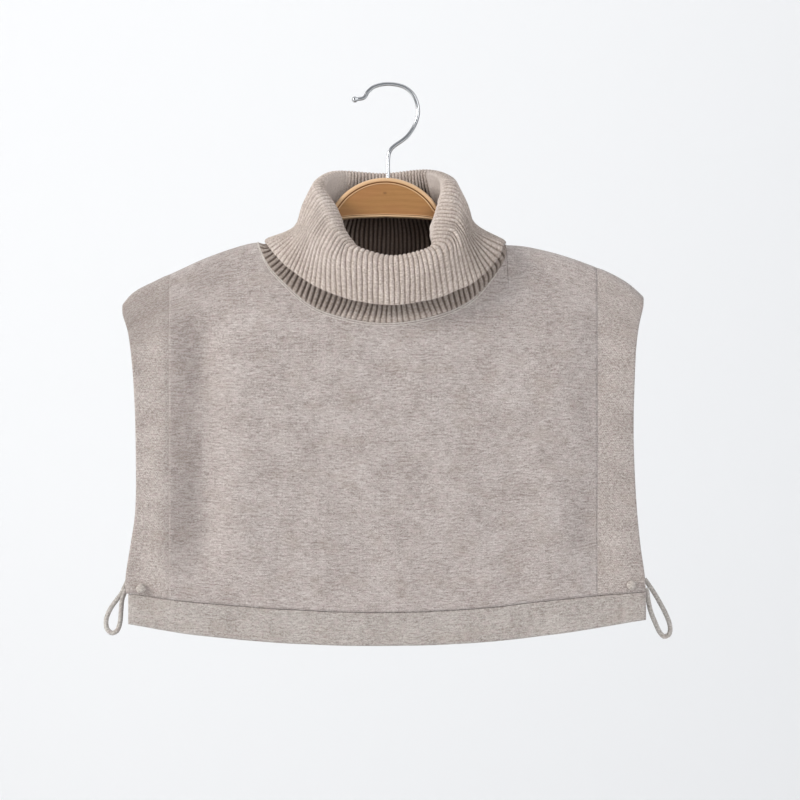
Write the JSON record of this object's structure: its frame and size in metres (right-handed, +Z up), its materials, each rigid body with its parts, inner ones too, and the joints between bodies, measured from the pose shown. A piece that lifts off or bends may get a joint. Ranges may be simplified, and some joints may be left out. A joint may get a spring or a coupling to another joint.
{
  "type": "neck warmer on a hanger",
  "caption": "Knitted shoulder neck warmer with a folded roll neck, open sides, side loops and buttons, hanging on a wooden hanger with a wire hook.",
  "frame": {"origin": "inner top of the hanger's hook, where it rests on a rail", "axes": "+Z up, the wearer's front faces -Y, +X to the viewer's right when seen from the front"},
  "size_m": [0.4611, 0.0838, 0.4525],
  "materials": {
    "body_knit": "fine heathered knit",
    "band_knit": "fine grainy knit",
    "rib_knit": "rib knit",
    "cord_knit": "knitted tube cord",
    "button_knit": "knit covered",
    "wood": "clear satin lacquer",
    "steel": "bright wire"
  },
  "bodies": {
    "root": {"front_panel": "body_knit", "back_panel": "body_knit", "left_side_band": "band_knit", "right_side_band": "band_knit", "front_hem_band": "body_knit", "back_hem_band": "body_knit", "collar": "rib_knit", "left_button": "button_knit", "right_button": "button_knit", "left_loop": "cord_knit", "right_loop": "cord_knit", "hanger_body": "wood", "hanger_hook": "steel"}
  },
  "joints": []
}
